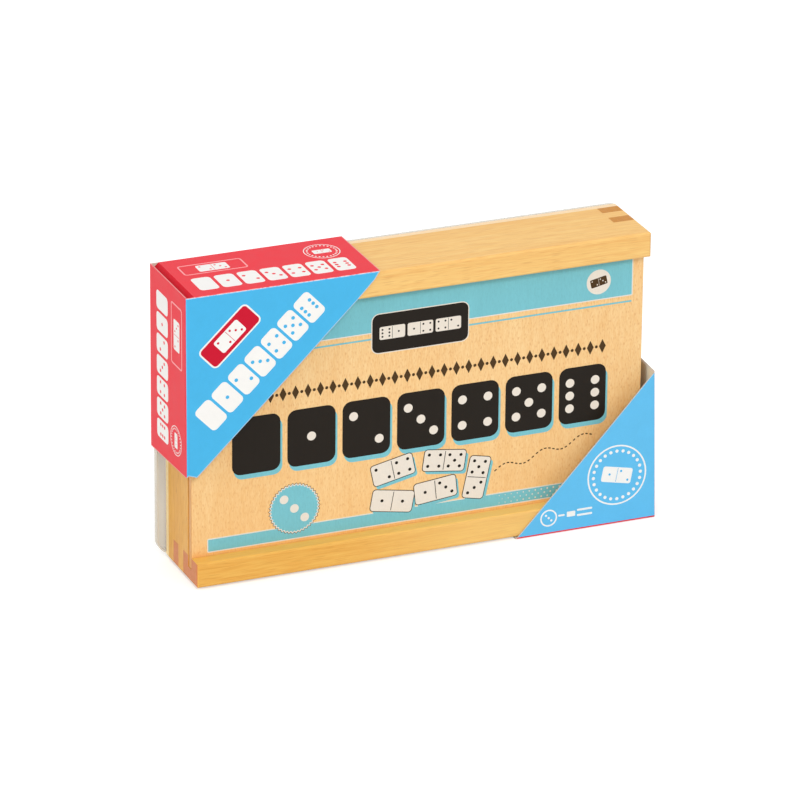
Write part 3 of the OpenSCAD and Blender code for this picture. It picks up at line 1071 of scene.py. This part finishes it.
# Rows of dots that grow to the right, the middle row half a step further on
def addDots(art, dots, middle):
    for step in range(dots["count"]):
        share = step / (dots["count"] - 1)
        for row, shift in enumerate(dots["rows"]):
            x = dots["from"] + (step + 0.5 * (row % 2)) * dots["pitch"]
            dot = disc(dots["least"] + dots["growth"] * share, points=12)
            addPlate(art, "white", dot, (x, middle + shift), 3)


# Dashes along a sine wave that rises, each turned to the wave's slope
def addWave(art, wave):
    for x in np.arange(wave["from"], wave["to"], wave["pitch"]):
        along = x - wave["from"]
        phase = 2 * np.pi * along / wave["length"]
        z = wave["z"] + wave["height"] * np.sin(phase) + wave["rise"] * along
        slope = wave["height"] * np.cos(phase) * 2 * np.pi / wave["length"] + wave["rise"]
        degrees = np.degrees(np.arctan(slope))
        addPlate(art, "brown", roundedBox(*wave["dash"]), (x, z), 2, degrees)


def printLid(look):
    art = {}
    addBands(art, look)
    addLabel(art, look["label"])
    addSpot(art, look["spot"])
    addBlocks(art, "black", "white", look["blocks"], 4, shade="teal")
    addOrnament(art, look["ornament"])
    addPinkedSeal(art, look["seal"])
    addDots(art, look["dots"], sum(look["lowerBand"]) / 2)
    addWave(art, look["wave"])
    spread = look["spread"]
    for centre, degrees, values in spread["tiles"]:
        addDomino(art, "white", "teal", values, spread["length"], centre, 5, degrees,
                  line="black", shift=spread["shift"])
    printArt(art, "lid", lidFace, lidInks, "lid")


printLid(lidPrint)
print("lid printed")


cardInkFinish = {"size": 160, "amount": 0.1, "dull": 0.5, "glossChange": 0.2, "relief": 0.02}


def cardInk(name, tint):
    return plainFinish(name, tint, cardInkFinish, {"Specular IOR Level": pocketLook["gloss"]})


cardInks = {
    "white": cardInk("cardWhite", (246, 244, 240)), "blue": cardInk("cardBlue", (74, 182, 232)),
    "red": cardInk("cardRed", (204, 14, 46)), "rose": cardInk("cardRose", pocketLook["side"]),
    "pale": cardInk("cardPale", (250, 170, 172)),
}
upperPrint = {
    "front": {"start": (-106.8, 81.6), "way": (0.7227, 0.6912), "block": (9.4, 14.2, 2.1),
              "pitch": 10.75,
              "label": {"centre": (-94.4, 121.2), "size": (29.4, 11.2, 1.8), "line": 0.75,
                        "length": 15, "degrees": 43.4}},
    "top": {"start": (-105.4, -9.1), "way": (1, 0), "block": (9.2, 14.6, 2.0),
            "pitch": 10.85, "degrees": 0,
            "label": {"centre": (-90.6, 8.3), "size": (30.4, 11.4, 1.6)},
            "seal": {"centre": (-38.4, 8.3), "radius": 8.4}},
    "side": {"start": (-7.0, 133.2), "way": (0, -1), "block": (8.8, 14.2, 2.0),
             "pitch": 10.3, "degrees": 90,
             "label": {"centre": (11.1, 119.8), "size": (29.4, 13.6, 1.6)},
             "seal": {"centre": (9.8, 69.0), "radius": 7.0}},
    "tile": (2, 3), "framedLength": 14.5, "frameLine": 0.7,
}
lowerPrint = {
    "seal": {"centre": (95.6, 24.4), "radius": 14.9, "degrees": -12},
    "mark": {"centre": (61.4, 8.2), "radius": 4.2, "line": 0.7, "pipPitch": 1.35,
             "pipRadius": 0.55},
    "dashes": ((67.8, 8.6, 3.2, 0.9), (72.6, 8.6, 4.2, 2.6), (79.4, 10.0, 7.6, 1.0),
               (79.4, 7.4, 7.6, 1.0)),
    "dashCorner": 0.4,
    "side": {"start": (7.0, 4.0), "way": (0, 1), "block": (7.4, 12.2, 1.8), "pitch": 8.6},
}


# Row of blocks along a slant and a red label with a domino
def printUpperFront(face, look):
    art, part, label = {}, look["front"], look["front"]["label"]
    centre, degrees = label["centre"], label["degrees"]
    addBlocks(art, "white", "blue", part, 2)
    addPlate(art, "white", grownBox(label["size"], label["line"]), centre, 2, degrees)
    addPlate(art, "red", roundedBox(*label["size"]), centre, 3, degrees)
    addDomino(art, "white", "red", look["tile"], label["length"], centre, 4, degrees)
    printArt(art, "upperFront", face, cardInks, "upper_pocket")


# The top and the side, which reads downwards: a row of blocks, a framed domino and a seal
def printUpperPanel(name, face, part, look):
    art, centre, degrees = {}, part["label"]["centre"], part["degrees"]
    size, line = part["label"]["size"], look["frameLine"]
    addBlocks(art, "white", "rose", part, 2)
    addPlate(art, "pale", roundedBox(*size), centre, 2, degrees, inner=grownBox(size, -line))
    addDomino(art, "white", "rose", look["tile"], look["framedLength"], centre, 2, degrees)
    addSeal(art, "white", "rose", part["seal"], 2, degrees)
    printArt(art, name, face, cardInks, "upper_pocket")


def printUpperPocket(look):
    low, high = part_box("upper_left_pocket")
    front = ((0, low.y / mm, 0), (1, 0, 0), (0, 0, 1))
    top = ((0, 0, high.z / mm), (1, 0, 0), (0, 1, 0))
    side = ((low.x / mm, 0, 0), (0, -1, 0), (0, 0, 1))
    printUpperFront(front, look)
    printUpperPanel("upperTop", top, look["top"], look)
    printUpperPanel("upperSide", side, look["side"], look)


def printLowerPocket(look):
    low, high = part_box("lower_right_pocket")
    front = ((0, low.y / mm, 0), (1, 0, 0), (0, 0, 1))
    side = ((high.x / mm, 0, 0), (0, 1, 0), (0, 0, 1))

    art, mark = {}, look["mark"]
    addSeal(art, "white", "blue", look["seal"], 2, look["seal"]["degrees"])
    addPlate(art, "white", disc(mark["radius"], points=28), mark["centre"], 2,
             inner=disc(mark["radius"] - mark["line"], points=28))
    addPips(art, "white", 3, mark["centre"], mark["pipPitch"], mark["pipRadius"], 2)
    for x, z, length, height in look["dashes"]:
        addPlate(art, "white", roundedBox(length, height, look["dashCorner"]), (x, z), 2)
    printArt(art, "lowerFront", front, cardInks, "lower_pocket", leaned)

    art = {}
    addBlocks(art, "white", "rose", look["side"], 2)
    printArt(art, "lowerSide", side, cardInks, "lower_pocket", leaned)


printUpperPocket(upperPrint)
printLowerPocket(lowerPrint)
print("pockets printed")
